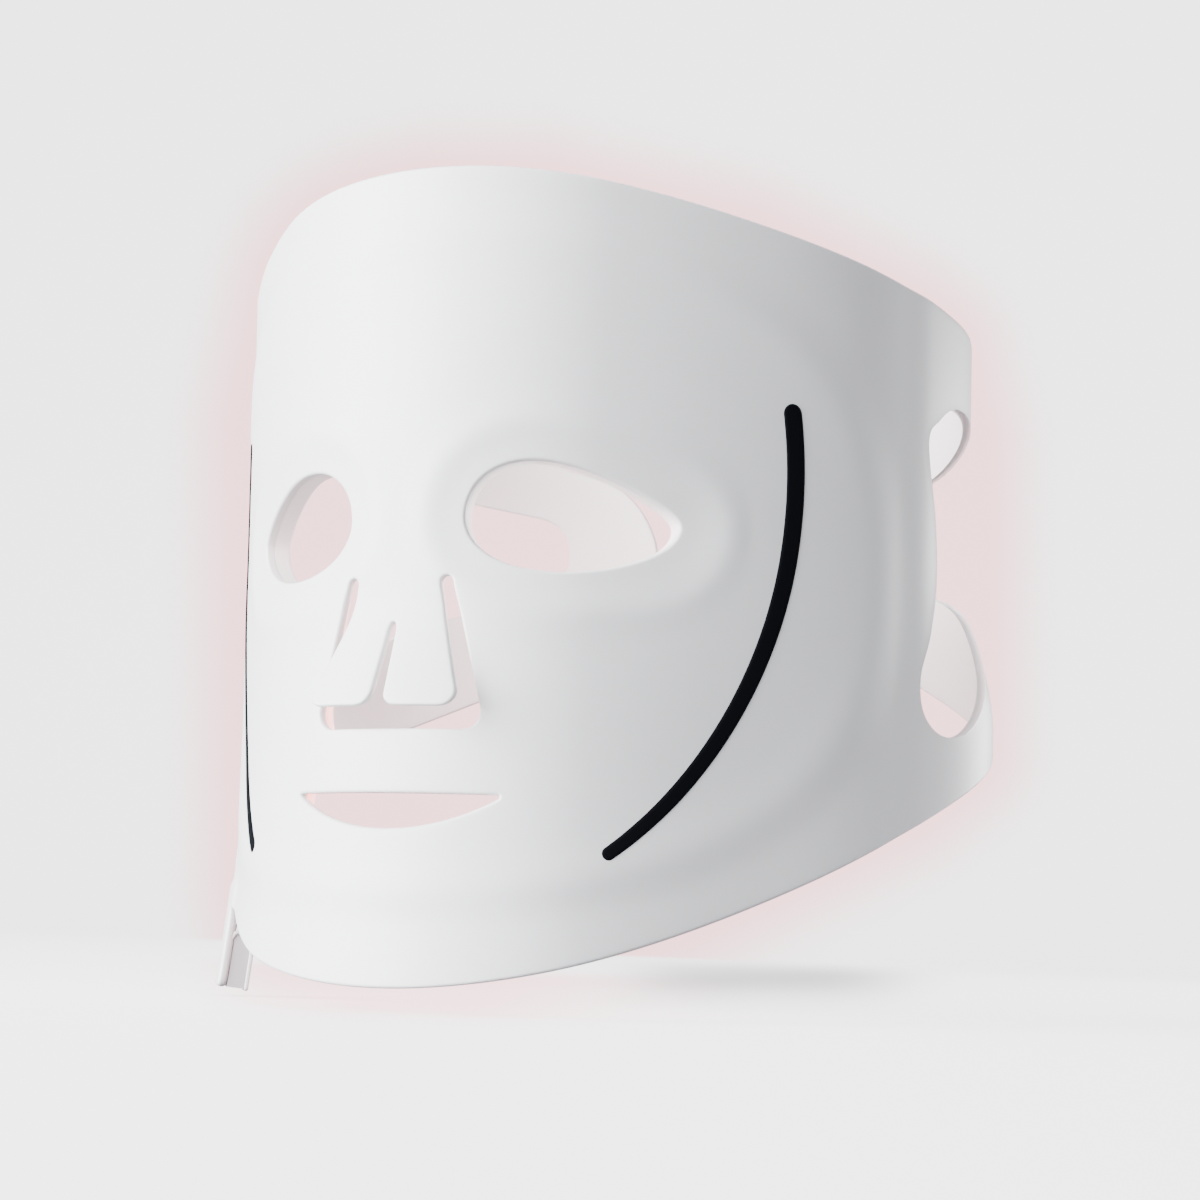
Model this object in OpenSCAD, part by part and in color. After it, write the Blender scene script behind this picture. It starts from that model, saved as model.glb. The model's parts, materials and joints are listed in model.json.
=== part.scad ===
// Flexible light-therapy face mask: a bent silicone sheet with its light panel inside.
// The sheet is described by its arc length s (left of the wearer is positive) and its height z.
// Every point is placed by surf(s, z, o), where o is the distance outwards from the outer face.

/* [Plan of the sheet] */
// Radius of the sheet across the front
front_r = 74; // [60:1:90]
// Radius of the sheet along the cheeks
cheek_r = 216; // [150:1:300]
// Radius of the sheet round the back
rear_r = 95; // [85:1:110]
// Arc length from the middle to the start of the cheek
front_arc = 50; // [45:1:55]
// Arc length from the middle to the end of the cheek
cheek_end = 115; // [105:1:125]
// Arc length from the middle to the flex line in front of the ear
flex_s = 143; // [142:0.5:145]

/* [Heights of the sheet] */
// Top edge at the middle of the forehead
crown_z = 100.5; // [96:0.5:108]
// Top edge at the temples
temple_z = 83.5; // [80:0.5:90]
// Bottom edge at the chin, below the bridge of the nose
chin_drop = 105; // [100:1:110]
// Outward flare of the chin
chin_flare = 5; // [0:0.5:8]
// Outward lean of the sheet towards its top edge
crown_lean = 0.04; // [0:0.01:0.08]
// How far the sheet draws in along the jaw
jaw_tuck = 1.6; // [0:0.1:2.5]
// Outward flare of the lower band beside the jaw
band_flare = 7.5; // [0:0.5:12]

/* [Layers] */
// Thickness of the outer silicone sheet
sheet_t = 2.4; // [2:0.1:2.5]
// Depth of the circuit's outer face under the outer face of the sheet
circuit_o = 2.65; // [2.65:0.05:2.7]
// Thickness of the flexible circuit
circuit_t = 0.25; // [0.2:0.05:0.25]
// Depth of the liner's outer face under the outer face of the sheet
liner_o = 4; // [4:0.1:4.4]
// Thickness of the liner
liner_t = 1.6; // [1.2:0.1:2]
// Half width of the light panel along the sheet
panel_s = 139; // [120:1:139]
// Height of the light panel above the bridge
panel_up = 88; // [84:1:92]
// Height of the light panel below the bridge
panel_down = 86; // [82:1:90]

/* [Eye openings] */
// Arc length from the middle to the middle of an eye opening
eye_s = 44.5; // [42:0.5:47]
// Height of the middle of an eye opening
eye_z = 11; // [8:0.5:14]
// Half length of an eye opening
eye_a = 27.5; // [24:0.5:29]
// Half height of an eye opening
eye_b = 14; // [12:0.5:15]
// Wall of the soft guard round an eye opening
guard_t = 2.4; // [1.8:0.1:3]
// Depth of the guard under the outer face of the sheet
guard_o = 8.4; // [7:0.1:9]

/* [Mouth and nose] */
// Half length of the mouth slit
mouth_a = 29.5; // [26:0.5:32]
// Height of the mouth slit's straight upper edge
mouth_z = -58.5; // [-62:0.5:-55]
// Depth of the mouth slit's curved lower edge
mouth_d = 8; // [7:0.5:10]
// Height of the top of the slots beside the nose
slot_z = -4.5; // [-6:0.5:-3]
// Height of the flex line of the nose flaps
nose_z = -14; // [-15:0.5:-13]
// Height of the bottom of the nose opening
nose_low = -42; // [-44:0.5:-40]
// Height of the lower edge of the nose flaps
flap_low = -38; // [-39:0.5:-37]
// Forward tilt of the nose flaps
flap_tilt = 20; // [10:1:25]

/* [Accent stripes] */
// Width of an accent stripe at its upper end
stripe_w = 5.4; // [4:0.1:6.4]
// Width of an accent stripe at its lower end
stripe_end_w = 2.7; // [2:0.1:4]
// Radius of the arc that a stripe follows on the sheet
stripe_r = 116.1; // [112:0.1:120]
// Thickness of a stripe
stripe_t = 0.4; // [0.3:0.05:0.6]

/* [Power inlet] */
// Arc length from the middle to the inlet, on the wearer's right
inlet_s = 95; // [90:0.5:98]
// Width of the inlet tab along the edge
inlet_w = 17; // [16:0.5:18]
// Height at which the socket begins to round off
inlet_z = -96; // [-98:0.5:-95]
// Length of the socket below that height
inlet_l = 13; // [12.5:0.5:14]
// Radius of the socket's bore
socket_r = 1.3; // [1.25:0.05:1.4]
// Length of the socket's bore
socket_l = 9; // [8:0.5:9.5]

/* [Bands and strap] */
// Arc length from the middle to the rear end of a band
band_end = 306; // [300:1:308]
// Width of the pad that the head strap fastens to
strap_w = 20; // [16:1:22]
// Height of the pad that the head strap fastens to
strap_l = 36; // [28:1:38]
// Thickness of the pad that the head strap fastens to
strap_t = 1.2; // [0.8:0.1:1.6]

/* [Lights] */
// Spacing of the lights along the sheet
led_pitch_s = 15; // [14:0.5:18]
// Spacing of the lights up the sheet
led_pitch_z = 13; // [12:0.5:16]
// Length of a light
led_l = 3.5; // [2.8:0.1:3.6]
// Width of a light
led_w = 2.8; // [2:0.1:2.8]
// Height of a light above the circuit
led_h = 0.7; // [0.5:0.05:0.75]

/* [Hidden] */

DEG = 180 / PI;
GAP = 0.12;                 // clearance between layers that lie on each other
CUT = 3;                    // how far a cutter stands proud of a face
base_o = -circuit_o - circuit_t - 0.15;  // plane on which the lights stand
seat_y = liner_o + liner_t - flare(0, 0); // puts the origin on the liner, where it meets the bridge
turn_1 = front_arc / front_r * DEG;
turn_2 = turn_1 + (cheek_end - front_arc) / cheek_r * DEG;
x_1 = front_r * sin(turn_1);
y_1 = front_r * (1 - cos(turn_1));
x_2 = x_1 + cheek_r * (sin(turn_2) - sin(turn_1));
y_2 = y_1 + cheek_r * (cos(turn_1) - cos(turn_2));

// ---- the bent sheet ----

function turn(a) = a < front_arc ? a / front_r * DEG
    : a < cheek_end ? turn_1 + (a - front_arc) / cheek_r * DEG
    : turn_2 + (a - cheek_end) / rear_r * DEG;

function plan_x(a) = a < front_arc ? front_r * sin(turn(a))
    : a < cheek_end ? x_1 + cheek_r * (sin(turn(a)) - sin(turn_1))
    : x_2 + rear_r * (sin(turn(a)) - sin(turn_2));

function plan_y(a) = a < front_arc ? front_r * (1 - cos(turn(a)))
    : a < cheek_end ? y_1 + cheek_r * (cos(turn_1) - cos(turn(a)))
    : y_2 + rear_r * (cos(turn_2) - cos(turn(a)));

function ease(t) = let (c = min(1, max(0, t))) c * c * (3 - 2 * c);

// The chin flares forwards, the crown leans out, the jaw draws in and the lower band stands out beside it.
function flare(a, z) = chin_flare * pow(max(0, -40 - z) / 64, 2) * (1 - 0.3 * ease((a - 35) / 55))
    + crown_lean * (1 - ease((a - 100) / 70)) * (sqrt((z - 8) * (z - 8) + 225) + z - 8) / 2
    - jaw_tuck * ease((5 - z) / 60) * ease((a - 50) / 55) * ease((165 - a) / 50)
    + band_flare * ease((a - flex_s - 2) / 52) * ease((300 - a) / 90) * ease((15 - z) / 45);

function surf(s, z, o = 0) = let (a = abs(s), h = turn(a), d = o + flare(a, z))
    [sign(s) * (plan_x(a) + d * sin(h)), plan_y(a) - d * cos(h) - seat_y, z];

function top_z(s) = let (a = abs(s))
    temple_z + (crown_z - temple_z) * (1 + cos(180 * min(a, 178) / 178)) / 2
    - 24 * pow(max(0, a - 190) / 110, 1.3);

function bottom_z(s) = -chin_drop + 0.5 * (sqrt(s * s + 77 * 77) - 77);

function steps(from, to, n) = [for (i = [0:n]) from + (to - from) * i / n];

// Triangles of a grid of rows x columns points, once for the outer and once for the inner face.
// The grid may close on itself along its rows (ring = true).
function grid_faces(n, m, ring) = let (k = n * m, last = ring ? n - 1 : n - 2) concat(
    [for (i = [0:last], j = [0:m - 2]) let (a = i * m + j, b = ((i + 1) % n) * m + j)
        each [[a, b, b + 1], [a, b + 1, a + 1], [k + a, k + b + 1, k + b], [k + a, k + a + 1, k + b + 1]]],
    [for (i = [0:last]) let (a = i * m, b = ((i + 1) % n) * m)
        each [[a, k + a, k + b], [a, k + b, b],
              [a + m - 1, b + m - 1, k + b + m - 1], [a + m - 1, k + b + m - 1, k + a + m - 1]]],
    ring ? [] : [for (j = [0:m - 2]) let (e = (n - 1) * m)
        each [[j, j + 1, k + j + 1], [j, k + j + 1, k + j],
              [e + j, k + e + j + 1, e + j + 1], [e + j, k + e + j, k + e + j + 1]]]);

function flipped(faces) = [for (f = faces) [f[0], f[2], f[1]]];

// Positive when a loop of [s, z] points runs anticlockwise, seen from outside.
function winding(loop) = let (n = len(loop))
    [for (i = [0:n - 1]) let (a = loop[i], b = loop[(i + 1) % n]) a[0] * b[1] - b[0] * a[1]] * [for (i = loop) 1];

// A patch of the sheet between two heights that are functions of s.
module patch(ss, rows, low, high, o_out, o_in) {
    m = rows + 1;
    pts = [for (o = [o_out, o_in], s = ss, j = [0:rows])
        surf(s, low(s) + (high(s) - low(s)) * j / rows, o)];
    polyhedron(points = pts, faces = flipped(grid_faces(len(ss), m, false)));
}

// A closed band of the sheet between an outer and an inner loop of [s, z] points.
module ring(outer, inner, rows, o_out, o_in) {
    n = len(outer);
    pts = [for (o = [o_out, o_in], i = [0:n - 1], j = [0:rows])
        let (p = outer[i] + (inner[i] - outer[i]) * j / rows) surf(p[0], p[1], o)];
    faces = grid_faces(n, rows + 1, true);
    polyhedron(points = pts, faces = winding(outer) > 0 ? flipped(faces) : faces);
}

// A plug of the sheet inside one loop, used as a cutter: it narrows to a point in the middle.
module plug(loop, o_out, o_in) {
    n = len(loop);
    mid = [for (k = [0:1]) [for (p = loop) p[k]] * [for (p = loop) 1 / n]];
    pts = concat([for (p = loop) surf(p[0], p[1], o_out)], [surf(mid[0], mid[1], o_out)],
        [for (p = loop) surf(p[0], p[1], o_in)], [surf(mid[0], mid[1], o_in)]);
    faces = [for (i = [0:n - 1]) let (j = (i + 1) % n) each [[i, n, j], [n + 1 + i, n + 1 + j, 2 * n + 1],
        [i, j, n + 1 + j], [i, n + 1 + j, n + 1 + i]]];
    polyhedron(points = pts, faces = winding(loop) > 0 ? faces : flipped(faces));
}

// Sets children on the sheet at (s, z), with their +Z along the outward normal and +X along s.
module on_sheet(s, z, o) {
    rise_z = (flare(abs(s), z + 1) - flare(abs(s), z - 1)) / 2;
    rise_s = (flare(abs(s + 1), z) - flare(abs(s - 1), z)) / 2;
    translate(surf(s, z, o)) rotate([0, 0, sign(s) * turn(abs(s)) - atan(rise_s)])
        rotate([90 + atan(rise_z), 0, 0]) children();
}

// The same loop with every side cut into k parts, so that it follows the bend.
function fine(loop, k) = let (n = len(loop))
    [for (i = [0:n - 1], j = [0:k - 1]) loop[i] + (loop[(i + 1) % n] - loop[i]) * j / k];

function mirrored(loop) = [for (i = [len(loop) - 1:-1:0]) [-loop[i][0], loop[i][1]]];

// ---- outlines on the sheet ----

// Almond eye opening: round at the nose, drawn out at the temple. grow moves it outwards.
function eye_loop(grow = 0, n = 48) = [for (i = [0:n - 1]) let (t = 360 * i / n, skew = sin(t) > 0 ? 0.42 : 0.16)
    [eye_s + (eye_a + grow) * cos(t), eye_z + (eye_b + grow) * sin(t) * (0.94 - skew * cos(t))]];

// Mouth slit: a straight upper edge over a shallow arc.
function mouth_loop(grow = 0, n = 14) = let (r = (mouth_a * mouth_a + mouth_d * mouth_d) / (2 * mouth_d),
    half = asin(mouth_a / r))
    concat([for (i = [0:n]) let (t = half - 2 * half * i / n)
        [(r + grow) * sin(t), mouth_z - mouth_d + r - (r + grow) * cos(t)]],
        [for (i = [0:14]) [-mouth_a + 2 * mouth_a * i / 14, mouth_z + 0.6 + grow]]);

// Right half of the nose opening below the flex line, and the slot that rises beside the bridge.
slot_top_s = 13.4;
slot_w = 2.6;
nose_half = 23.5;
nose_round = 4.5;
function nose_loop() = fine(concat(
    [[nose_half * 0.735, nose_z]],
    [for (i = [0:5]) let (t = 90 * i / 5)
        [nose_half - nose_round * (1 - cos(t)), nose_low + nose_round * (1 - sin(t))]],
    [for (i = [5:-1:0]) let (t = 90 * i / 5)
        [-nose_half + nose_round * (1 - cos(t)), nose_low + nose_round * (1 - sin(t))]],
    [[-nose_half * 0.735, nose_z]]), 3);
function slot_loop() = concat(
    [[slot_top_s + 3.9, nose_z - 1], [slot_top_s + slot_w / 2, slot_z - 1.5]],
    [for (i = [0:4]) let (t = 45 * i) [slot_top_s + slot_w / 2 * cos(t), slot_z - 1.3 + slot_w / 2 * sin(t)]],
    [[slot_top_s + 0.4, nose_z - 1]]);

// Light panel: a rounded outline that fills the face. shrink moves it inwards.
function panel_half(s, h, p, shrink) = (h - shrink) * pow(1 - pow(min(1, abs(s) / (panel_s - shrink)), p), 1 / p);
function panel_top(s, shrink = 0) = panel_half(s, panel_up, 2.4, shrink);
function panel_low(s, shrink = 0) = -panel_half(s, panel_down, 2.2, shrink);
function panel_columns(shrink, n) = [for (i = [0:n]) (panel_s - shrink) * sin(-83 + 166 * i / n)];
function panel_loop(shrink, n = 30) = let (ss = [for (i = [0:n]) (panel_s - shrink) * sin(-90 + 180 * i / n)])
    concat([for (s = ss) [s, panel_top(s, shrink)]],
        [for (i = [n - 1:-1:1]) [ss[i], panel_low(ss[i], shrink)]]);

// Side band: the outer loop runs along the top edge, round the rear end and back to the flex line.
hinge_gap = 1.6;
band_s = flex_s + hinge_gap;
tail_z = 34;                // height of the middle of the rear end
tail_h = 27;                // half height of the rear end
function band_outer() = concat(
    [for (i = [0:16]) let (s = band_s + (288 - band_s) * i / 16) [s, top_z(s)]],
    [for (t = [75:-15:-75]) [288 + (band_end - 288) * pow(cos(t), 0.6), tail_z - 2 + tail_h * sin(t)]],
    [for (i = [16:-1:0]) let (s = band_s + (288 - band_s) * i / 16) [s, bottom_z(s)]],
    [for (i = [1:11]) [band_s, bottom_z(band_s) + (top_z(band_s) - bottom_z(band_s)) * i / 12]]);

// Twice the points of a closed loop, with the new ones on a smooth curve through the old ones.
function smooth(p) = let (n = len(p)) [for (i = [0:n - 1])
    each [p[i], (9 * (p[i] + p[(i + 1) % n]) - p[(i + n - 1) % n] - p[(i + 2) % n]) / 16]];
function band_inner() = smooth([
    [152, 45], [159, 53], [170, 58.5], [186, 60], [204, 59], [222, 56.5], [240, 53.5], [257, 51.5], [267, 49.8],
    [272.5, 46.5], [275, 41.5], [275.5, 36], [274.5, 31], [271, 26.5],
    [263, 21.5], [248, 16], [230, 10.5], [214, 3.5], [201, -6], [190, -17.5], [180, -28], [170, -34.2], [159, -34.6],
    [151.5, -29], [150, -19], [154.5, -7], [158, 8], [157, 23]]);

// ---- silicone parts ----

module openings(grow, o_out, o_in) {
    plug(eye_loop(grow), o_out, o_in);
    plug(mirrored(eye_loop(grow)), o_out, o_in);
    plug(mouth_loop(grow), o_out, o_in);
}

module outer_shell() {
    low = function(s) bottom_z(s);
    high = function(s) top_z(s);
    color("white") difference() {
        patch(steps(-flex_s, flex_s, 56), 15, low, high, 0, -sheet_t);
        openings(0, CUT, -sheet_t - CUT);
        plug(nose_loop(), CUT, -sheet_t - CUT);
        plug(slot_loop(), CUT, -sheet_t - CUT);
        plug(mirrored(slot_loop()), CUT, -sheet_t - CUT);
    }
}

module inner_liner() {
    low = function(s) panel_low(s);
    high = function(s) panel_top(s);
    color("mistyrose") difference() {
        patch(panel_columns(0, 44), 12, low, high, -liner_o, -liner_o - liner_t);
        openings(guard_t + 0.6, CUT - liner_o, -liner_o - liner_t - CUT);
        plug(nose_cover_loop(2), CUT - liner_o, -liner_o - liner_t - CUT);
    }
}

// Clear area round the nose opening, in which the inner layers stop. grow moves it outwards.
function nose_cover_loop(grow) = fine([
    [slot_top_s + 3 + grow, slot_z + 2 + grow], [nose_half + grow, nose_low + 6],
    [nose_half + grow - 2, nose_low - grow], [-nose_half - grow + 2, nose_low - grow],
    [-nose_half - grow, nose_low + 6], [-slot_top_s - 3 - grow, slot_z + 2 + grow]], 8);

module perimeter_seal() {
    color("white") ring(panel_loop(0.5, 56), panel_loop(4.5, 56), 1, base_o + 0.03, 0.22 - liner_o);
}

module eye_guard(side) {
    color("whitesmoke") ring(side > 0 ? eye_loop(guard_t) : mirrored(eye_loop(guard_t)),
        side > 0 ? eye_loop(0) : mirrored(eye_loop(0)), 1, -sheet_t - GAP, -guard_o);
}

module side_band(side) {
    outer = side > 0 ? band_outer() : mirrored(band_outer());
    inner = side > 0 ? band_inner() : mirrored(band_inner());
    color("white") ring(outer, inner, 4, 0, -sheet_t);
}

// Pad on the outer face of a band's rear end, which the head strap fastens to.
module strap_pad(side) {
    c = 3;                  // radius of the pad's corners
    mid_s = 290;
    core = strap_w / 2 - c;
    corner = [for (i = [0:4]) c * sin(22.5 * i)];
    rise = function(s) strap_l / 2 - c + sqrt(max(0, c * c - pow(max(0, abs(abs(s) - mid_s) - core), 2)));
    low = function(s) tail_z - rise(s);
    high = function(s) tail_z + rise(s);
    half = [for (d = concat([for (i = [4:-1:1]) -core - corner[i]], steps(-core, core, 4),
        [for (i = [1:4]) core + corner[i]])) mid_s + d];
    ss = side > 0 ? half : [for (i = [len(half) - 1:-1:0]) -half[i]];
    color("lightgray") patch(ss, 3, low, high, strap_t + GAP, GAP);
}

// Nose flap: a piece of the sheet that hangs from the flex line above it and leans forwards.
module nose_flap(side) {
    c = 9;                  // arc length to the middle of the flap
    tip = 3.5;              // radius of the flap's lower corners
    loop = concat([[13.6, nose_z - 1.7]],
        [for (i = [0:5]) let (t = 90 * i / 5) [19.5 - tip * (1 - cos(t)), flap_low + tip * (1 - sin(t))]],
        [for (i = [5:-1:0]) let (t = 90 * i / 5) [1.6 + tip * (1 - cos(t)), flap_low + tip * (1 - sin(t))]],
        [[1.1, nose_z - 1.7]]);
    hub = surf(side * c, nose_z, -sheet_t / 2);
    along = side * turn(c);
    color("white") translate(hub) rotate([0, 0, along]) rotate([-flap_tilt, 0, 0]) rotate([0, 0, -along])
        translate(-hub) plug(side > 0 ? loop : mirrored(loop), 0, -sheet_t);
}

// Accent stripe: a thin strip that follows an arc on the sheet and narrows downwards, with round ends.
module accent_stripe(side) {
    from = -10.2;
    to = 53.7;
    n = 22;
    wide = stripe_w / 2;
    narrow = stripe_end_w / 2;
    stops = concat([for (k = [4:-1:1]) from - wide / stripe_r * DEG * sin(22 * k)], steps(from, to, n),
        [for (k = [1:4]) to + narrow / stripe_r * DEG * sin(22 * k)]);
    half = concat([for (k = [4:-1:1]) wide * cos(22 * k)],
        [for (i = [0:n]) wide - (wide - narrow) * pow(i / n, 2)],
        [for (k = [1:4]) narrow * cos(22 * k)]);
    pts = [for (o = [stripe_t + GAP, GAP], i = [0:len(stops) - 1], j = [-1:1])
        let (r = stripe_r + side * j * half[i], t = stops[i])
        surf(side * (103.4 - stripe_r + r * cos(t)), 22.75 - r * sin(t), o)];
    color("black") polyhedron(points = pts, faces = flipped(grid_faces(len(stops), 3, false)));
}

// ---- light panel ----

module flex_circuit() {
    low = function(s) panel_low(s, 0.5);
    high = function(s) panel_top(s, 0.5);
    tail_low = function(s) tail_bottom;
    tail_high = function(s) panel_low(s, 0.5) + 1;
    color("orange") difference() {
        union() {
            patch(panel_columns(0.5, 48), 12, low, high, -circuit_o, -circuit_o - circuit_t);
            patch(steps(-inlet_s - 6, -inlet_s + 6, 4), 3, tail_low, tail_high, -circuit_o, -circuit_o - circuit_t);
        }
        openings(guard_t + 1.2, 0, -circuit_o - circuit_t - CUT);
        plug(nose_cover_loop(3), 0, -circuit_o - circuit_t - CUT);
    }
}

function inside(p, loop) = let (n = len(loop)) len([for (i = [0:n - 1]) let (a = loop[i], b = loop[(i + 1) % n])
    if ((a[1] > p[1]) != (b[1] > p[1]) && p[0] < (b[0] - a[0]) * (p[1] - a[1]) / (b[1] - a[1]) + a[0]) i]) % 2 == 1;

// A place is free where the panel is whole and no opening is near.
function free(p) = let (q = [abs(p[0]), p[1]])
    p[1] < panel_top(p[0], 14) && p[1] > panel_low(p[0], 14)
    && !inside(q, eye_loop(8)) && !inside(p, mouth_loop(7)) && !inside(p, nose_cover_loop(8));

led_rows = 6;
led_columns = 9;
function led_spots(kind) = [for (r = [-led_rows:led_rows], c = [-led_columns:led_columns])
    let (p = [c * led_pitch_s + (r % 2 == 0 ? 0 : led_pitch_s / 2), r * led_pitch_z])
    if ((r + c + 40) % 2 == kind && free(p)) p];

module leds(kind) {
    for (p = led_spots(kind))
        on_sheet(p[0], p[1], base_o - led_h / 2) cube([led_l, led_w, led_h], center = true);
}

module red_leds() { color("red") leds(0); }

module infrared_leds() { color("dimgray") leds(1); }

module led_resistors() {
    color("black") for (side = [-1, 1], k = [0:5])
        on_sheet(side * 118, -30 + k * led_pitch_z, base_o - 0.25) cube([1.6, 0.8, 0.5], center = true);
}

module driver_chips() {
    color("black") for (k = [0:3])
        on_sheet(-100 + k * 14, -51 - k * 4.5, base_o - 0.35) cube([5, 4, 0.7], center = true);
}

// Short posts that keep the liner off the lights.
module liner_spacers() {
    spots = [for (r = [-4:2:6], c = [-7:2:7]) let (p = [c * led_pitch_s, (r + 0.5) * led_pitch_z])
        if (free(p)) p];
    color("mistyrose") for (p = spots)
        on_sheet(p[0], p[1], 0.2 - liner_o) cylinder(r = 1.1, h = liner_o - 0.2 + base_o, $fn = 16);
}

// ---- power inlet ----

tail_bottom = bottom_z(inlet_s) + 5;    // lower end of the circuit's tail
socket_t = 4.6;
cover_t = 1.3;
skin_gap = 0.15;            // between the tab's outer skin and the socket
cover_o = base_o - 1.05;    // outer face of the cover behind the leads
wall = 2;                   // side walls of the tab

// Local frame of the inlet: +X along the sheet, +Y inwards, Z up along the sheet, origin in the socket.
module inlet_frame() {
    on_sheet(-inlet_s, inlet_z, -sheet_t - skin_gap - socket_t / 2) rotate([-90, 0, 0]) children();
}

// Everything outside of the sheet's inner face, above the sheet's lower edge.
module sheet_room() {
    low = function(s) bottom_z(s) - 0.1;
    high = function(s) -50;
    patch(steps(-inlet_s - 20, -inlet_s + 20, 10), 5, low, high, 6, -sheet_t - 2 * GAP);
}

// Profile across the tab: flat at its lower end, with a half-round top of radius r.
module tab_profile(front, back, r, end, w) {
    rotate([90, 0, 90]) linear_extrude(w, center = true)
        polygon(concat([[-front, end - inlet_l], [back, end - inlet_l]],
            [for (i = [0:24]) [r * cos(7.5 * i), r * sin(7.5 * i)]], [[-front, 0]]));
}

// Tab below the sheet's lower edge: it folds over the socket, from a skin in line with the sheet to a cover,
// and leaves the socket's sides bare.
module inlet_boot() {
    w = inlet_w;
    skin = socket_t / 2 + skin_gap;     // from the socket's middle to the skin's inner face
    low = function(s) inlet_z - 2;
    edge = function(s) bottom_z(s) + 1;
    high = function(s) panel_low(s) - 0.6;
    color("white") difference() {
        union() {
            inlet_frame() tab_profile(skin + sheet_t, socket_t / 2 + cover_t, socket_t / 2 + cover_t, 0, w);
            patch(steps(-inlet_s - w / 2, -inlet_s + w / 2, 6), 4, low, edge, 0, -sheet_t);
            patch(steps(-inlet_s - w / 2, -inlet_s + w / 2, 6), 4, low, high, cover_o, cover_o - 1.4);
            for (k = [-1, 1]) let (mid = k * (w - wall) / 2 - inlet_s)
                patch([mid - wall / 2, mid + wall / 2], 4, low, high, -1, cover_o - 0.5);
        }
        sheet_room();
        inlet_frame() tab_profile(socket_t / 2 + GAP, socket_t / 2 + GAP, socket_t / 2 + GAP, -1, w + 2);
        for (k = [-1, 1])
            lead(k, 0.75);
    }
}

// Block with a half-round top, and the bore of the plug.
module inlet_socket() {
    w = inlet_w - 0.8;
    color("gray") inlet_frame() difference() {
        union() {
            translate([-w / 2, -socket_t / 2, 0.6 - inlet_l]) cube([w, socket_t, inlet_l - 0.6]);
            rotate([0, 90, 0]) translate([0, 0, -w / 2]) cylinder(r = socket_t / 2, h = w, $fn = 48);
        }
        translate([0, 0, -inlet_l]) cylinder(r = socket_r, h = socket_l + 0.6, $fn = 48);
        translate([0, 0, 0.6 + socket_l - inlet_l]) cylinder(r = 1.6, h = 0.8, $fn = 48);
        translate([0, 0, 1 + socket_l - inlet_l]) cylinder(r = 0.7, h = 1.7, $fn = 24);
        translate([2.4, -0.4, 3 - inlet_l]) cube([1.4, 0.8, 8]);
    }
}

// Contact that the plug's tip presses on at the end of the bore.
module inlet_tip_contact() {
    color("gold") inlet_frame() translate([0, 0, 1 + socket_l - inlet_l]) cylinder(r = 0.6, h = 1.3, $fn = 24);
}

module inlet_spring_contact() {
    color("silver") inlet_frame() translate([2.5, -0.3, 3.1 - inlet_l]) cube([1.2, 0.6, 7.8]);
}

// Rigid board on the circuit's tail, above the socket.
module inlet_board() {
    color("darkgreen") on_sheet(-inlet_s, tail_bottom + 3, base_o - 0.3)
        cube([12, 5, 0.6], center = true);
}

// Lead from the board down to the top of the socket.
module lead(k, r) {
    foot = inlet_z + socket_t / 2 + 0.2;
    head = tail_bottom + 0.3;
    on_sheet(-inlet_s + k * 3, (foot + head) / 2, base_o - 0.35) rotate([-90, 0, 0])
        cylinder(r = r, h = head - foot, center = true, $fn = 24);
}

module inlet_leads() {
    color("red") for (k = [-1, 1])
        lead(k, 0.5);
}

outer_shell();
inner_liner();
perimeter_seal();
flex_circuit();
red_leds();
infrared_leds();
led_resistors();
driver_chips();
liner_spacers();
eye_guard(1);  // eye_guard_left
eye_guard(-1);  // eye_guard_right
accent_stripe(1);  // accent_stripe_left
accent_stripe(-1);  // accent_stripe_right
nose_flap(1);  // nose_flap_left
nose_flap(-1);  // nose_flap_right
side_band(1);  // side_band_left
side_band(-1);  // side_band_right
strap_pad(1);  // strap_pad_left
strap_pad(-1);  // strap_pad_right
inlet_boot();
inlet_socket();
inlet_tip_contact();
inlet_spring_contact();
inlet_board();
inlet_leads();
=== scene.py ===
import json
import math

import bpy
import numpy as np
from mathutils import Matrix, Vector, geometry


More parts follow.
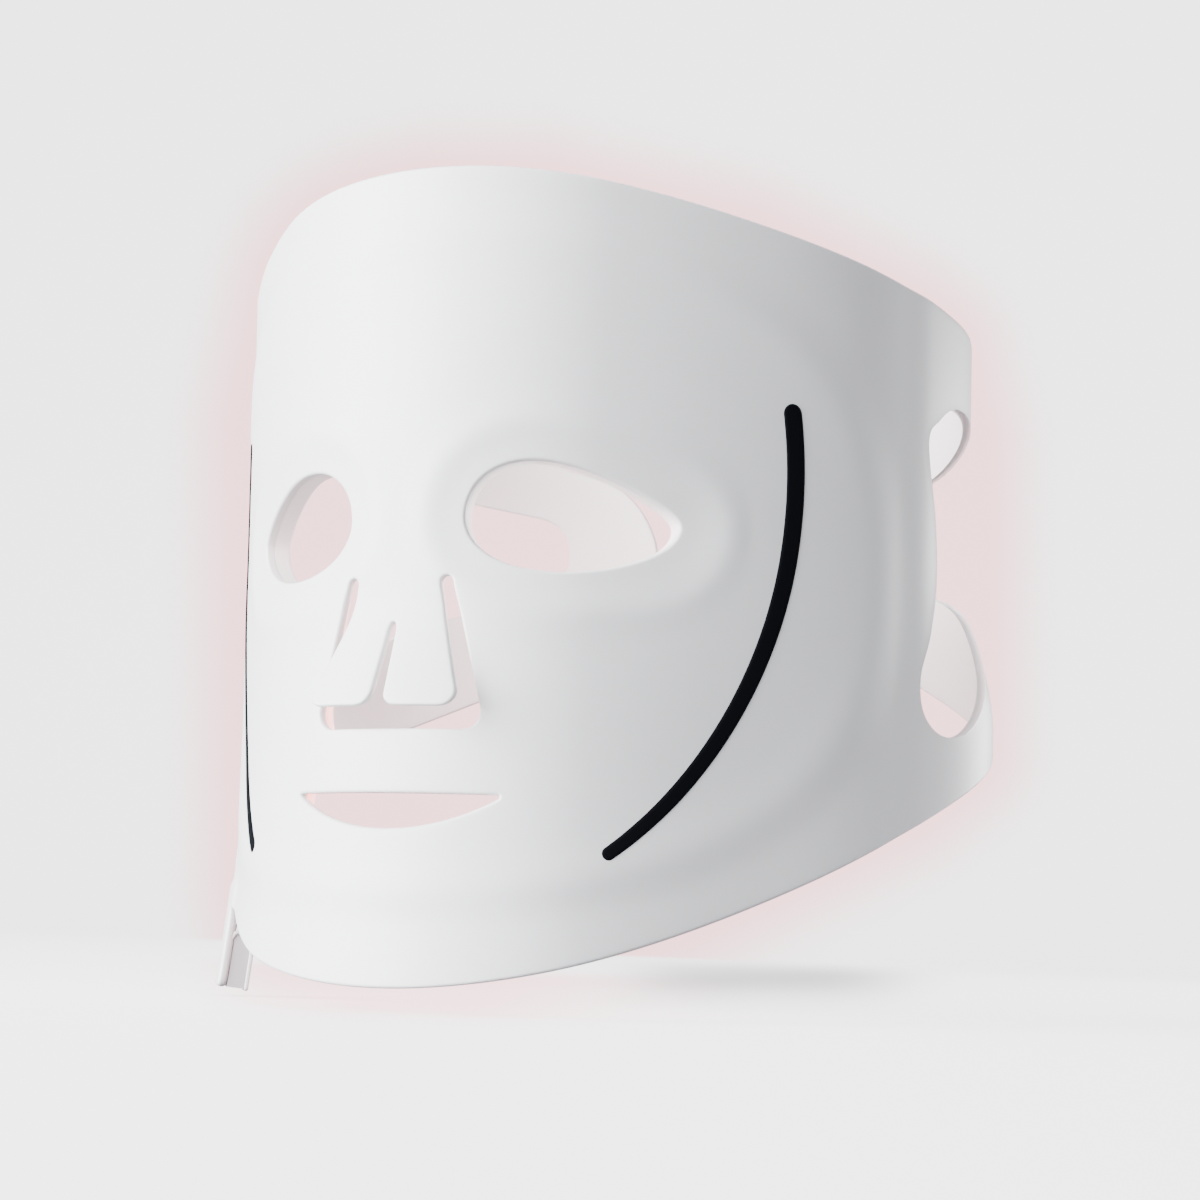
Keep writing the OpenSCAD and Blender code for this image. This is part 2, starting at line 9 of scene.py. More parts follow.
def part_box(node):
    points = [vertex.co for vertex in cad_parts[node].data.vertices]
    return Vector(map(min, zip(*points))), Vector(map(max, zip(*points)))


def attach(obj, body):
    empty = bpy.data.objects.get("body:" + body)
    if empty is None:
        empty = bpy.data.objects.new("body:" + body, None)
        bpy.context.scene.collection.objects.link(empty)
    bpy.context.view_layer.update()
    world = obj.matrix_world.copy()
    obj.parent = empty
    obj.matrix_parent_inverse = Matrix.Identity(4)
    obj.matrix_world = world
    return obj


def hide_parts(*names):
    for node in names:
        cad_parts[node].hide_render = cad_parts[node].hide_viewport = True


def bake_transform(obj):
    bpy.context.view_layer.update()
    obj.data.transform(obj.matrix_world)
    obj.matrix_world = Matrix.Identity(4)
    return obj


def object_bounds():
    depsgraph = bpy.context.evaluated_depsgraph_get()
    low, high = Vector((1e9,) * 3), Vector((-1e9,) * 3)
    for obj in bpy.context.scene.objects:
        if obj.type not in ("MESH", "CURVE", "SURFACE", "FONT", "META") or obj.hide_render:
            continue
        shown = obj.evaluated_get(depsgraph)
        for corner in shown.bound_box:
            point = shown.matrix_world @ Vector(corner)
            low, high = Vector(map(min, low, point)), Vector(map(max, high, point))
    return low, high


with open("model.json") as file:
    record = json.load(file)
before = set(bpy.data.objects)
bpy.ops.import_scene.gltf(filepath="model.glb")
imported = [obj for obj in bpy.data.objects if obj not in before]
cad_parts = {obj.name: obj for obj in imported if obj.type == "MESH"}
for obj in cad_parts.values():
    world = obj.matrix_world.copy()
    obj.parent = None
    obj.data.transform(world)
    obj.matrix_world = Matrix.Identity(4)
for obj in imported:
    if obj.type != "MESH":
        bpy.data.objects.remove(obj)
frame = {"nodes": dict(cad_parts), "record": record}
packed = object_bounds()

MM = 0.001
NODES = frame["nodes"]
SIDES = ((1, "left"), (-1, "right"))

# ---------------------------------------------------------------- the bent sheet, in mm
# s runs along the sheet from the middle line to the wearer's left, z is height, o is outwards.

FRONT_R, CHEEK_R, REAR_R = 74.0, 216.0, 95.0          # radii of the bend, from the front to the rear
FRONT_ARC, CHEEK_END, FLEX_S = 50.0, 115.0, 143.0     # where the radii change, and where the bands flex
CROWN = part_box("outer_shell")[1].z / MM
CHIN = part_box("outer_shell")[0].z / MM
TEMPLE = 83.5                                         # height of the top edge at the temples
CHIN_FLARE, CROWN_LEAN, JAW_TUCK, BAND_FLARE = 5.0, 0.04, 1.6, 7.5
SHEET_T = 2.4                                         # thickness of the silicone sheet
LINER_O, LINER_T = 4.0, 1.6                           # depth of the liner's outer face, and its thickness
GUARD_O, GUARD_T = 8.4, 2.4                           # depth of the eye guards, and their wall
TURN_1 = FRONT_ARC / FRONT_R
TURN_2 = TURN_1 + (CHEEK_END - FRONT_ARC) / CHEEK_R
X1, Y1 = FRONT_R * math.sin(TURN_1), FRONT_R * (1 - math.cos(TURN_1))
X2 = X1 + CHEEK_R * (math.sin(TURN_2) - math.sin(TURN_1))
Y2 = Y1 + CHEEK_R * (math.cos(TURN_1) - math.cos(TURN_2))


def ease(t):
    """A smooth step from 0 to 1 while t goes from 0 to 1."""
    c = np.clip(t, 0, 1)
    return c * c * (3 - 2 * c)


def flare(a, z):
    """How far the sheet stands out: chin, crown, jaw and lower band."""
    chin = CHIN_FLARE * (np.maximum(0, -40 - z) / 64) ** 2 * (1 - 0.3 * ease((a - 35) / 55))
    crown = CROWN_LEAN * (1 - ease((a - 100) / 70)) * (np.sqrt((z - 8) ** 2 + 225) + z - 8) / 2
    jaw = JAW_TUCK * ease((5 - z) / 60) * ease((a - 50) / 55) * ease((165 - a) / 50)
    band = BAND_FLARE * ease((a - FLEX_S - 2) / 52) * ease((300 - a) / 90) * ease((15 - z) / 45)
    return chin + crown - jaw + band


SEAT = LINER_O + LINER_T - float(flare(0.0, 0.0))


def bend(a, front, cheek, rear):
    """The value for each a: front, cheek or rear, by the stretch of the sheet that it lies on."""
    return np.where(a < FRONT_ARC, front, np.where(a < CHEEK_END, cheek, rear))


def place(s, z, o):
    """Points on the sheet, in metres, as an array of rows."""
    s, z, o = (np.asarray(v, float) for v in np.broadcast_arrays(s, z, o))
    a, side = np.abs(s), np.where(s < 0, -1.0, 1.0)
    h = bend(a, a / FRONT_R, TURN_1 + (a - FRONT_ARC) / CHEEK_R, TURN_2 + (a - CHEEK_END) / REAR_R)
    sin, cos = np.sin(h), np.cos(h)
    x = bend(a, FRONT_R * sin, X1 + CHEEK_R * (sin - math.sin(TURN_1)),
             X2 + REAR_R * (sin - math.sin(TURN_2)))
    y = bend(a, FRONT_R * (1 - cos), Y1 + CHEEK_R * (math.cos(TURN_1) - cos),
             Y2 + REAR_R * (math.cos(TURN_2) - cos))
    d = o + flare(a, z)
    return np.stack([side * (x + d * sin), y - d * cos - SEAT, z], -1) * MM


def top_z(s):
    """Height of the sheet's upper edge."""
    a = np.abs(s)
    return TEMPLE + (CROWN - TEMPLE) * (1 + np.cos(np.pi * np.minimum(a, 178) / 178)) / 2 \
        - 24 * (np.maximum(0, a - 190) / 110) ** 1.3


def bottom_z(s):
    """Height of the sheet's lower edge."""
    return CHIN + 0.5 * (np.sqrt(np.asarray(s, float) ** 2 + 77 ** 2) - 77)


# ---------------------------------------------------------------- outlines in (s, z)

def spread(loop, gap, closed=True):
    """The same outline with points about gap apart."""
    p = np.array(loop, float)
    q = np.vstack([p, p[:1]]) if closed else p
    d = np.hypot(*np.diff(q, axis=0).T)
    at = np.concatenate([[0], np.cumsum(d)])
    n = max(8, int(round(at[-1] / gap)))
    t = np.linspace(0, at[-1], n + 1)[:-1] if closed else np.linspace(0, at[-1], n + 1)
    return np.stack([np.interp(t, at, q[:, 0]), np.interp(t, at, q[:, 1])], -1)


def curve(points, closed=True, n=12):
    """A smooth curve through points."""
    p = np.array(points, float)
    m = len(p)
    out = []
    for i in range(m if closed else m - 1):
        if closed:
            a, b, c, d = p[i - 1], p[i], p[(i + 1) % m], p[(i + 2) % m]
        else:
            a, b, c, d = p[max(i - 1, 0)], p[i], p[i + 1], p[min(i + 2, m - 1)]
        for t in np.linspace(0, 1, n, endpoint=False):
            out.append(0.5 * (2 * b + (c - a) * t + (2 * a - 5 * b + 4 * c - d) * t * t
                              + (3 * b - a - 3 * c + d) * t ** 3))
    if not closed:
        out.append(p[-1])
    return np.array(out)


def soften(loop, passes):
    """The closed outline with its corners rounded."""
    p = np.array(loop, float)
    for _ in range(passes):
        p = (np.roll(p, 1, 0) + 2 * p + np.roll(p, -1, 0)) / 4
    return p


def soften_open(line, passes):
    """The same for an open line, whose ends stay."""
    p = np.array(line, float)
    for _ in range(passes):
        p[1:-1] = (p[:-2] + 2 * p[1:-1] + p[2:]) / 4
    return p


def mirror(loop):
    """The outline on the other side of the face."""
    p = np.array(loop, float)[::-1].copy()
    p[:, 0] *= -1
    return p


EYE_S, EYE_Z, EYE_A, EYE_B = 44.5, 11.0, 27.5, 14.0    # middle of an eye opening, and its half sizes


def eye_loop(grow=0.0):
    """Almond opening: round at the nose, drawn out at the temple."""
    t = np.linspace(0, 2 * np.pi, 180, endpoint=False)
    skew = np.where(np.sin(t) > 0, 0.42, 0.16)
    return np.stack([EYE_S + (EYE_A + grow) * np.cos(t),
                     EYE_Z + (EYE_B + grow) * np.sin(t) * (0.94 - skew * np.cos(t))], -1)


MOUTH_A, MOUTH_D, MOUTH_Z = 29.5, 8.0, -58.5           # half length, depth and upper edge of the slit


def mouth_loop(grow=0.0):
    """A straight upper edge over a shallow arc."""
    r = (MOUTH_A * MOUTH_A + MOUTH_D * MOUTH_D) / (2 * MOUTH_D)
    half = math.asin(MOUTH_A / r)
    t = np.linspace(-half, half, 60)
    low = np.stack([(r + grow) * np.sin(t), MOUTH_Z - MOUTH_D + r - (r + grow) * np.cos(t)], -1)
    high = np.stack([np.linspace(MOUTH_A, -MOUTH_A, 60), np.full(60, MOUTH_Z + 0.6 + grow)], -1)
    return soften(spread(np.vstack([low, high]), 0.5), 4)


def corner(cx, cz, r, start, stop, n=8):
    """Points on an arc, between two angles in degrees."""
    t = np.radians(np.linspace(start, stop, n))
    return [(cx + r * math.cos(v), cz + r * math.sin(v)) for v in t]


def nose_loop():
    """The whole opening round the two flaps, anticlockwise: slots, opening, flaps and middle slot."""
    right = [(12.05, -6.2)] + corner(13.6, -5.6, 1.55, 178, 2, 9) + [(15.25, -6.6), (17.4, -14.0)]
    right += corner(19.1, -37.6, 4.4, 4, -90, 8)
    flap = [(0.0, -15.4), (0.6, -16.0), (0.9, -17.5), (1.5, -32.5)]
    flap += corner(5.0, -33.7, 3.5, 178, 270, 8)
    flap += corner(15.6, -33.7, 3.5, 270, 370, 8)
    flap += [(13.9, -15.0)]
    half = flap + right
    other = [(-x, z) for x, z in half[::-1]]
    both = np.array(half + other[:-1])
    return soften(spread(both, 0.45), 3)[::-1]


def nose_room(grow):
    """The opening that the liner leaves round the nose."""
    half = [(16.4 + grow, -2.5 + grow), (23.5 + grow, -36), (21.5 + grow, -42 - grow)]
    ring = [half[0]] + [(-x, z) for x, z in half] + half[:0:-1]
    return soften(spread(ring, 0.8), 30)


PANEL_S, PANEL_UP, PANEL_DOWN = 139.0, 88.0, 86.0      # half sizes of the light panel
UP_POWER, DOWN_POWER = 2.4, 2.2                        # how square its outline is


def panel_loop(shrink):
    """The panel's outline, moved inwards by shrink."""
    t = np.linspace(0, 2 * np.pi, 720, endpoint=False)
    c, s = np.cos(t), np.sin(t)
    p = np.where(s > 0, UP_POWER, DOWN_POWER)
    h = np.where(s > 0, PANEL_UP, PANEL_DOWN) - shrink
    r = (np.abs(c / (PANEL_S - shrink)) ** p + np.abs(s / h) ** p) ** (-1 / p)
    return np.stack([r * c, r * s], -1)


def panel_low(s):
    """Height of the panel's lower edge, a little inside the outline."""
    share = 1 - (abs(s) / (PANEL_S - 0.4)) ** DOWN_POWER
    return float(-(PANEL_DOWN - 0.6) * share ** (1 / DOWN_POWER))


SEAM = 136.0                                           # where the front and the bands are cut apart
TAB_S, TAB_W = -95.0, 17.0                             # middle and width of the inlet's tab
TAB_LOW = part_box("inlet_boot")[0].z / MM
TAIL = [(291, 61.0), (299, 53.6), (304.6, 43), (306, 32), (304.6, 21), (299, 11), (291, 4.0)]


def edge_point(s):
    """A point on the sheet's lower edge."""
    return (s, float(bottom_z(s)))


def tab_outline():
    """The tab in the lower edge, from one side to the other."""
    left, right = TAB_S - TAB_W / 2, TAB_S + TAB_W / 2
    low = TAB_LOW + 1.15
    tab = [edge_point(left - 2.0)] \
        + corner(left - 1.5, float(bottom_z(left)) - 1.9, 1.5, 90, 0, 5) \
        + corner(left + 1.6, low + 1.6, 1.6, 180, 270, 6) \
        + corner(right - 1.6, low + 1.6, 1.6, 270, 360, 6) \
        + corner(right + 1.5, float(bottom_z(right)) - 1.5, 1.5, 180, 110, 5) \
        + [edge_point(right + 2.2)]
    return soften_open(spread(tab, 0.7, closed=False), 2)


def stretch(start, end, height):
    """Points 1.5 mm apart along an edge, without the last one."""
    s = np.linspace(start, end, int(round(abs(end - start) / 1.5)) + 1)[:-1]
    return np.stack([s, height(s)], -1)


def sheet_outline():
    """Anticlockwise, with points exactly on the seams and the inlet's tab in the lower edge."""
    tab = tab_outline()
    tab_start, tab_end = TAB_S - TAB_W / 2 - 2.0, TAB_S + TAB_W / 2 + 2.2
    ends = [edge_point(270), edge_point(280)] + TAIL[::-1] \
        + [(280, float(top_z(280))), (270, float(top_z(270)))]
    tail = spread(curve(ends, closed=False)[12:-12], 1.5, closed=False)[:-1]
    back = tail[::-1] * (-1, 1)
    return np.vstack([
        stretch(-280, -SEAM, bottom_z), stretch(-SEAM, tab_start, bottom_z), tab[:-1],
        stretch(tab_end, SEAM, bottom_z), stretch(SEAM, 280, bottom_z), tail,
        stretch(280, SEAM, top_z), stretch(SEAM, -SEAM, top_z), stretch(-SEAM, -280, top_z),
        [(-280, float(top_z(280)))], back[:-1]])


EAR = [(152, 45), (159, 53), (170, 58.5), (186, 60), (204, 59), (222, 56.5), (240, 53.5),
       (257, 51.5), (267, 49.8), (272.5, 46.5), (275, 41.5), (275.5, 36), (274.5, 31), (271, 26.5),
       (263, 21.5), (248, 16), (230, 10.5), (214, 3.5), (201, -6), (190, -17.5), (180, -28),
       (170, -34.2), (159, -34.6), (151.5, -29), (150, -19), (154.5, -7), (158, 8), (157, 23)]


def ear_loop():
    """The closed opening for the ear in the left band."""
    return spread(curve(EAR), 1.3)


# ---------------------------------------------------------------- relief of the outer face

EYE_EDGE = eye_loop()


def far_from(loop, s, z):
    """The distance from each point to the nearest point of the outline."""
    out = np.empty(len(s))
    for i in range(0, len(s), 4000):
        ds = s[i:i + 4000, None] - loop[None, :, 0]
        dz = z[i:i + 4000, None] - loop[None, :, 1]
        out[i:i + 4000] = np.sqrt((ds ** 2 + dz ** 2).min(1))
    return out


PANEL_RISE, RIDGE_RISE, SOCKET_DIP = 0.8, 0.3, 1.3     # heights of the relief


def relief(s, z):
    """Small heights of the outer face: the raised light panel and the dished eye sockets."""
    a = np.abs(s)
    p = np.where(z > 0, UP_POWER, DOWN_POWER)
    h = np.where(z > 0, PANEL_UP, PANEL_DOWN)
    m = ((a / PANEL_S) ** p + (np.abs(z) / h) ** p) ** (1 / p)
    within = (1 - m) * 100      # from 0 at the panel's outline to 100 in its middle
    side = 1 - ease((a - PANEL_S) / 14)
    out = -PANEL_RISE * (1 - ease(within / 11 + 0.5)) * side
    out += RIDGE_RISE * np.exp(-((within - 7) / 5.0) ** 2) * side
    # level round the inlet's tab
    out *= 1 - ease((a - 80) / 3) * ease((112 - a) / 3) * ease((-78 - z) / 3) * (np.asarray(s) < 0)
    near = (a < 90) & (np.abs(z - 10) < 40)
    d = np.full(len(a), 99.0)
    d[near] = far_from(EYE_EDGE, a[near], z[near])
    wide = 11 + 3 * ease((a - 45) / 30)
    out += -SOCKET_DIP * (1 - ease(d / wide)) + RIDGE_RISE * np.exp(-((d - wide) / 4.0) ** 2)
    return out


FLAP_TOP, FLAP_LOW, FLAP_SEAM = -9.5, -38.5, -13.6     # heights: start of the lift, end, and the cut
SLOT_END = -15.4                                       # upper end of the slot between the flaps


SLOT_S, SLOT_Z, SLOT_SPREAD = 15.5, -14, 0.238         # a line along the middle of an outer slot


def in_flap(s, z):
    """Whether points lie on a flap or just above it, inside the outer slots."""
    return (z < FLAP_TOP) & (z > FLAP_LOW) & (np.abs(s) < SLOT_S + (SLOT_Z - z) * SLOT_SPREAD)


def flap_lift(s, z):
    """The flaps curve forwards below the bridge."""
    u = np.maximum(0, FLAP_TOP - z)
    lift = 0.37 * (u - 5.0 * (1 - np.exp(-u / 5.0)))
    return np.where(in_flap(s, z), lift, 0.0)


# ---------------------------------------------------------------- meshes

def rim_profile(t, r_out, r_in, n=4):
    """Steps (inwards, deeper) round the edge of a sheet t thick."""
    turns = [(1 - math.sin(a), 1 - math.cos(a)) for a in np.linspace(0, math.pi / 2, n)]
    back = [(1 - math.sin(a), 1 - math.cos(a)) for a in np.linspace(math.pi / 2, 0, n)]
    return [(x * r_out, y * r_out) for x, y in turns] + [(x * r_in, t - y * r_in) for x, y in back]


def inside(points, loop):
    """Whether each point lies inside the outline."""
    x, y = points[:, 0], points[:, 1]
    hit = np.zeros(len(points), bool)
    q = np.roll(loop, -1, 0)
    for (ax, ay), (bx, by) in zip(loop, q):
        if ay == by:
            continue
        cross = ((ay > y) != (by > y)) & (x < (bx - ax) * (y - ay) / (by - ay) + ax)
        hit ^= cross
    return hit


def sheet(outer, holes, t, r, gap, base=0.0, lift=None, seams=(), hole_r=None):
    """A sheet t thick with edges rounded by r, its outer face at depth base, and faces split at the
    seams. Returns s, z and o of its points, and its faces."""
    loops = [np.array(outer, float)] + [np.array(h, float)[::-1] for h in holes]
    radii = [(r, r)] + (hole_r or [(r, r)] * len(holes))
    pts, ring_at, faces = [], [], []
    count = 0
    for loop, (ro, ri) in zip(loops, radii):
        tangent = np.roll(loop, -1, 0) - np.roll(loop, 1, 0)
        tangent /= np.maximum(np.hypot(*tangent.T), 1e-9)[:, None]
        normal = np.stack([-tangent[:, 1], tangent[:, 0]], -1)
        rings = []
        for inset, depth in rim_profile(t, ro, ri):
            p = loop + normal * inset
            pts.append(np.column_stack([p, np.full(len(p), -depth)]))
            rings.append(count + np.arange(len(p)))
            count += len(p)
        ring_at.append(rings)
        for a, b in zip(rings, rings[1:]):
            a2, b2 = np.roll(a, -1), np.roll(b, -1)
            faces += np.stack([a, b, b2, a2], -1).tolist()
    flat = np.vstack(pts)
    lo, hi = loops[0].min(0), loops[0].max(0)
    rows = []
    for k, height in enumerate(np.arange(lo[1], hi[1], gap * 0.866)):
        along = np.arange(lo[0] + (k % 2) * gap / 2, hi[0], gap)
        rows.append(np.column_stack([along, np.full(len(along), height)]))
    grid = np.vstack(rows)
    keep = inside(grid, loops[0])
    for h in loops[1:]:
        keep &= ~inside(grid, h)
    grid = grid[keep]
    seams = [np.array(m, float) for m in seams]
    shaped = [flat[rings[0]][:, :2] for rings in ring_at]
    edge = np.vstack(shaped + seams)
    grid = grid[far_from(edge, grid[:, 0], grid[:, 1]) > gap * 0.6]
    front = [rings[0] for rings in ring_at]
    back = [rings[-1] for rings in ring_at]
    ring_ids = np.concatenate(front)
    back_ids = np.concatenate(back)
    coords = [flat[ring_ids][:, :2]]
    edges, base_id = [], 0
    for rings in front:
        n = len(rings)
        edges += [(base_id + i, base_id + (i + 1) % n) for i in range(n)]
        base_id += n
    extra = []
    for m in seams:
        ends = [int(np.argmin(np.hypot(*(coords[0] - m[k]).T))) for k in (0, -1)]
        mid = list(range(base_id + len(extra), base_id + len(extra) + len(m) - 2))
        extra += [tuple(v) for v in m[1:-1]]
        run = [ends[0]] + mid + [ends[1]]
        if np.hypot(*(m[0] - coords[0][ends[0]])) > 2:
            extra.append(tuple(m[0]))
            run[0] = base_id + len(extra) - 1
        edges += list(zip(run, run[1:]))
    if extra:
        coords.append(np.array(extra))
    coords.append(grid)
    flat2 = np.vstack(coords)
    out = geometry.delaunay_2d_cdt([Vector(v) for v in flat2], edges, [], 0, 1e-6, True)
    verts2 = np.array([tuple(v) for v in out[0]])
    tris = np.array([f for f in out[2] if len(f) == 3])
    source = np.array([o[0] if o else -1 for o in out[3]])
    centre = verts2[tris].mean(1)
    keep = inside(centre, shaped[0])
    for h in shaped[1:]:
        keep &= ~inside(centre, h)
    tris = tris[keep]
    n_ring = len(ring_ids)
    new = np.arange(n_ring, len(flat2))
    front_map = np.concatenate([ring_ids, count + np.arange(len(new))])
    back_map = np.concatenate([back_ids, count + len(new) + np.arange(len(new))])
    rest = flat2[n_ring:]
    points = np.vstack([flat, np.column_stack([rest, np.zeros(len(rest))]),
                        np.column_stack([rest, np.full(len(rest), -t)])])
    tri = source[tris]
    tri = tri[(tri >= 0).all(1)]
    area = np.cross(flat2[tri[:, 1]] - flat2[tri[:, 0]], flat2[tri[:, 2]] - flat2[tri[:, 0]])
    tri = np.where((area > 0)[:, None], tri, tri[:, ::-1])
    tri = tri[np.abs(area) > 1e-7]
    faces += front_map[tri].tolist() + back_map[tri[:, ::-1]].tolist()
    o = points[:, 2] + base
    if lift is not None:
        o = o + lift(points[:, 0], points[:, 1])
    return points[:, 0], points[:, 1], o, faces


def normals_of(co, faces):
    """One smooth normal for each point, weighted by the size of its faces."""
    n = np.zeros_like(co)
    by_size = {}
    for f in faces:
        by_size.setdefault(len(f), []).append(f)
    for k, group in by_size.items():
        g = np.array(group)
        a = co[g[:, 1]] - co[g[:, 0]]
        b = co[g[:, 2]] - co[g[:, 0]]
        v = np.cross(a, b)
        if k == 4:
            v = v + np.cross(co[g[:, 2]] - co[g[:, 0]], co[g[:, 3]] - co[g[:, 0]])
        for j in range(k):
            np.add.at(n, g[:, j], v)
    return n / np.maximum(np.linalg.norm(n, axis=1), 1e-12)[:, None]


def make(name, co, faces, normals=None):
    """A mesh object with the points that its faces use."""
    used = sorted({i for f in faces for i in f})
    index = np.full(len(co), -1)
    index[used] = np.arange(len(used))
    mesh = bpy.data.meshes.new(name)
    mesh.from_pydata(co[used].tolist(), [], [[int(index[i]) for i in f] for f in faces])
    mesh.validate()
    for p in mesh.polygons:
        p.use_smooth = True
    if normals is not None:
        mesh.normals_split_custom_set_from_vertices(normals[used].tolist())
    mesh.update()
    obj = bpy.data.objects.new(name, mesh)
    bpy.context.scene.collection.objects.link(obj)
    return obj


# ---------------------------------------------------------------- materials

MIX_SHARE, MIX_A, MIX_B, MIX_OUT = 0, 6, 7, 2          # sockets of a node that mixes two colours


def material(name, colour, rough, bump=0.0, scale=900.0, vary=0.0, patch=40.0, subsurface=0.0,
             sheen=0.0, coat=0.0, metal=0.0, glow=None, strength=0.0, clear=0.0, ior=1.45):
    """A surface whose colour varies in patches and that is finely grained at scale."""
    m = bpy.data.materials.new(name)
    m.use_nodes = True
    nt = m.node_tree
    nt.nodes.clear()
    link = nt.links.new
    out = nt.nodes.new("ShaderNodeOutputMaterial")
    b = nt.nodes.new("ShaderNodeBsdfPrincipled")
    co = nt.nodes.new("ShaderNodeTexCoord")
    wide = nt.nodes.new("ShaderNodeTexNoise")
    wide.inputs["Scale"].default_value = patch
    wide.inputs["Detail"].default_value = 4
    link(co.outputs["Object"], wide.inputs["Vector"])
    mix = nt.nodes.new("ShaderNodeMix")
    mix.data_type = "RGBA"
    dark = tuple(c * (1 - vary) for c in colour)
    mix.inputs[MIX_A].default_value = (*dark, 1)
    mix.inputs[MIX_B].default_value = (*colour, 1)
    link(wide.outputs["Fac"], mix.inputs[MIX_SHARE])
    link(mix.outputs[MIX_OUT], b.inputs["Base Color"])
    roughness = nt.nodes.new("ShaderNodeMapRange")
    roughness.inputs["To Min"].default_value = max(0.02, rough - 0.05)
    roughness.inputs["To Max"].default_value = min(1, rough + 0.05)
    link(wide.outputs["Fac"], roughness.inputs["Value"])
    link(roughness.outputs["Result"], b.inputs["Roughness"])
    b.inputs["Metallic"].default_value = metal
    b.inputs["IOR"].default_value = ior
    b.inputs["Coat Weight"].default_value = coat
    b.inputs["Sheen Weight"].default_value = sheen
    b.inputs["Subsurface Weight"].default_value = subsurface
    b.inputs["Subsurface Radius"].default_value = (1.0, 0.75, 0.7)
    b.inputs["Subsurface Scale"].default_value = 0.0015
    if bump:
        fine = nt.nodes.new("ShaderNodeTexNoise")
        fine.inputs["Scale"].default_value = scale
        fine.inputs["Detail"].default_value = 3
        link(co.outputs["Object"], fine.inputs["Vector"])
        grain = nt.nodes.new("ShaderNodeBump")
        grain.inputs["Strength"].default_value = bump
        grain.inputs["Distance"].default_value = 0.0002
        link(fine.outputs["Fac"], grain.inputs["Height"])
        link(grain.outputs["Normal"], b.inputs["Normal"])
    if glow:
        b.inputs["Emission Color"].default_value = (*glow, 1)
        b.inputs["Emission Strength"].default_value = strength
    if clear:
        see_through = nt.nodes.new("ShaderNodeBsdfTransparent")
        see_through.inputs["Color"].default_value = (1, 0.93, 0.92, 1)
        both = nt.nodes.new("ShaderNodeMixShader")
        both.inputs[0].default_value = clear
        link(b.outputs[0], both.inputs[1])
        link(see_through.outputs[0], both.inputs[2])
        link(both.outputs[0], out.inputs["Surface"])
    else:
        link(b.outputs[0], out.inputs["Surface"])
    return m


WHITE = (0.86, 0.86, 0.865)
MATS = {
    "shell_silicone": material("shell_silicone", WHITE, 0.42, 0.06, 1400, 0.015, 30, 0.12, 0.05),
    # painted glow: the liner emits pink light itself, standing in for the red LEDs' light shining through
    # it
    "liner_silicone": material("liner_silicone", (0.93, 0.80, 0.79), 0.38, 0.08, 900, 0.03, 40, 0.1,
                               glow=(1.0, 0.45, 0.43), strength=2.6, clear=0.14),
    # painted light: a faint pink emission brightens the guards' shaded inner walls
    "guard_silicone": material("guard_silicone", (0.87, 0.85, 0.85), 0.45, 0.06, 1200, 0.02, 30, 0.15,
                               glow=(1.0, 0.80, 0.80), strength=0.35),
    "stripe_black": material("stripe_black", (0.003, 0.0033, 0.005), 0.6, 0.03, 1500, 0.2, 60,
                             ior=1.12),
    "polyimide": material("polyimide", (0.75, 0.36, 0.08), 0.3, 0.05, 800, 0.15, 60),
    "red_led": material("red_led", (0.8, 0.08, 0.06), 0.2, coat=0.3,
                        glow=(1.0, 0.05, 0.03), strength=9.0),
    "infrared_led": material("infrared_led", (0.2, 0.03, 0.03), 0.2, coat=0.3,
                             glow=(1.0, 0.02, 0.02), strength=0.3),
    "black_epoxy": material("black_epoxy", (0.02, 0.02, 0.022), 0.5, 0.1, 2000, 0.2, 200),
    "socket_grey": material("socket_grey", (0.58, 0.58, 0.60), 0.5, 0.08, 2500, 0.06, 90),
    "contact_gold": material("contact_gold", (0.86, 0.62, 0.22), 0.25, metal=1.0, vary=0.05),
    "contact_spring": material("contact_spring", (0.75, 0.75, 0.74), 0.22, metal=1.0, vary=0.05),
    "board_green": material("board_green", (0.03, 0.22, 0.09), 0.35, 0.06, 1500, 0.1, 120),
    "strap_pad_grey": material("strap_pad_grey", (0.62, 0.62, 0.63), 0.9, 0.9, 1700, 0.12, 500,
                               sheen=0.5),
    "lead_red": material("lead_red", (0.5, 0.03, 0.03), 0.4, 0.05, 1500, 0.1, 120),
}


def dress(obj, slot_name):
    """Gives the piece the material of that slot."""
    obj.data.materials.clear()
    obj.data.materials.append(MATS[slot_name])
    return obj


for part in frame["record"]["subparts"]:
    node = NODES[part["node"]]
    node.data.materials.clear()
    node.data.materials.append(MATS[part["material_slot"]])

# ---------------------------------------------------------------- the silicone sheet

EDGE_R = 0.85                                          # rounding of the sheet's edges
nose = nose_loop()


def across(z):
    """Where the flap's outer edge is at height z, on the inner side of the slot."""
    side = nose[(nose[:, 0] > 10) & in_flap(nose[:, 0], nose[:, 1])]
    side = side[np.argsort(-side[:, 1])]
    return float(np.interp(-z, -side[:, 1], side[:, 0]))


reach = across(FLAP_SEAM) - EDGE_R
seams = []
for side in (-1, 1):
    zs = np.linspace(float(bottom_z(SEAM)) + EDGE_R, float(top_z(SEAM)) - EDGE_R, 80)
    seams.append([(side * SEAM, z) for z in zs])
seams.append([(s, FLAP_SEAM) for s in np.linspace(reach, -reach, 25)])
seams.append([(0.0, z) for z in np.linspace(SLOT_END + EDGE_R, FLAP_SEAM, 4)])


def skin_lift(s, z):
    """How far the silicone sheet's faces move outwards."""
    return relief(s, z) + flap_lift(s, z)


